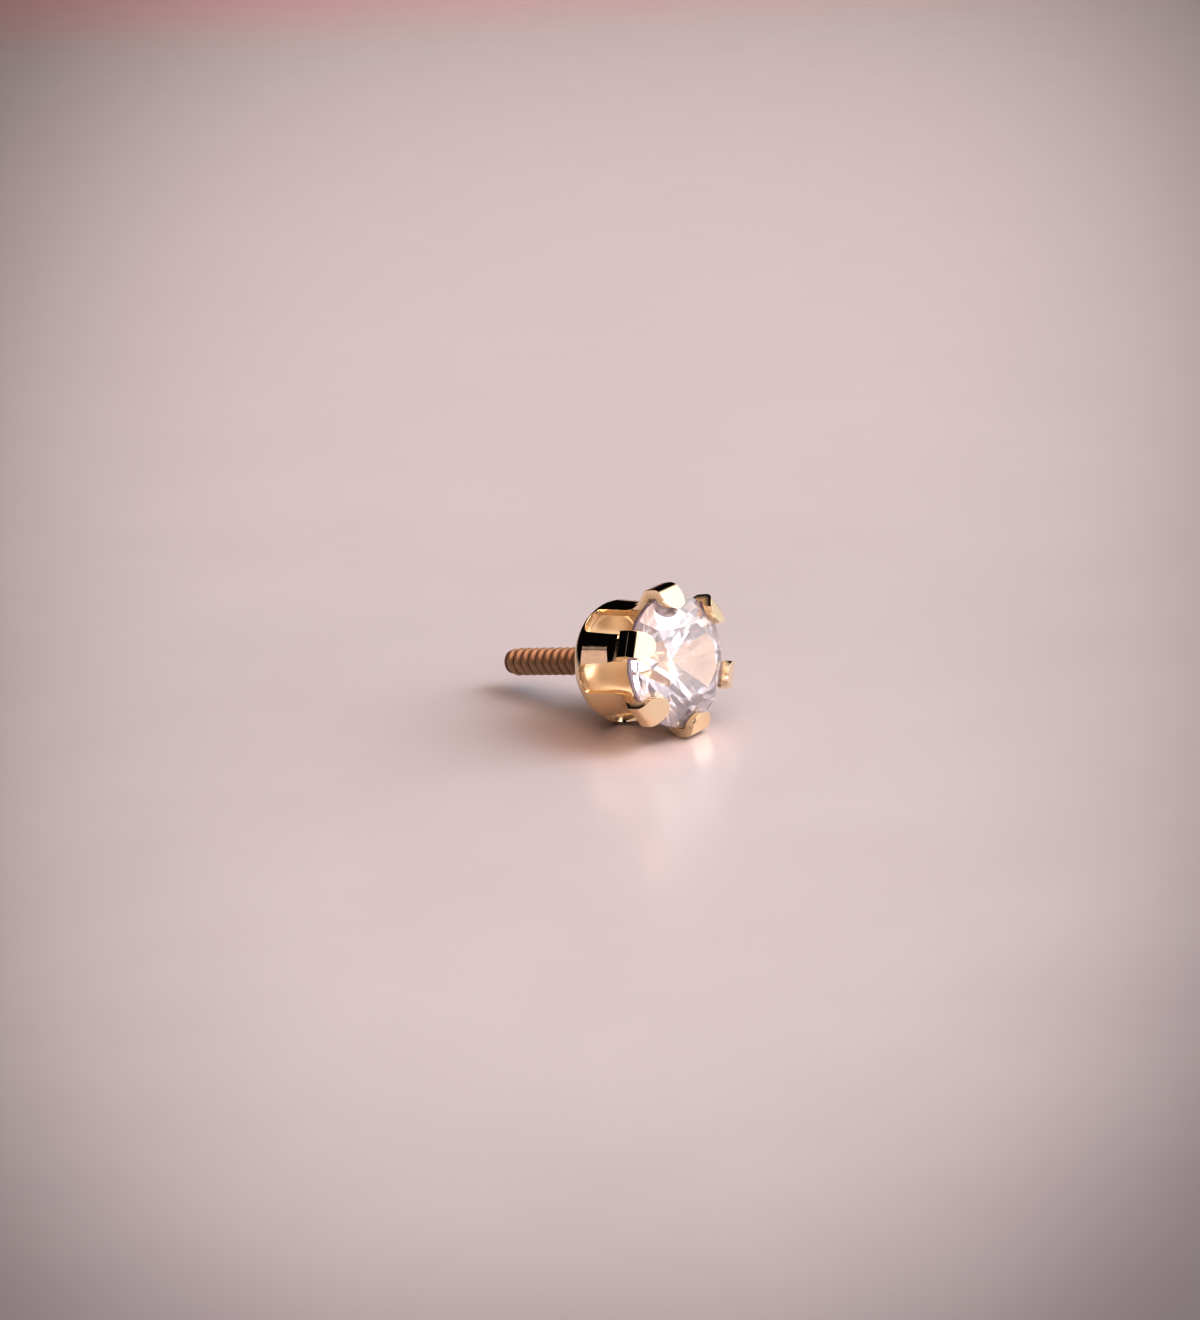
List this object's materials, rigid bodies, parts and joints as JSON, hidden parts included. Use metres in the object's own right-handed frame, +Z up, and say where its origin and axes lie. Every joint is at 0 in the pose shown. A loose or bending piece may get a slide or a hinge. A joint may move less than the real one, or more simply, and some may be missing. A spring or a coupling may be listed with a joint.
{
  "type": "stud earring",
  "caption": "Round brilliant stone held by bent sheet prongs in an open stamped cup, with a threaded post on its back.",
  "frame": {"origin": "middle of the bounding box's underside, on the surface the stud rests on", "axes": "+X along the stud's length from the post's end toward the stone, whose axis rises about 12.2 degrees above the surface; +Z up, away from the surface; +Y completes the right hand"},
  "size_m": [0.0098, 0.0054, 0.0057],
  "materials": {
    "gold": "polished pale rose gold",
    "stone": "polished clear cut stone"
  },
  "bodies": {
    "root": {"setting": "gold", "stone": "stone"}
  },
  "joints": []
}
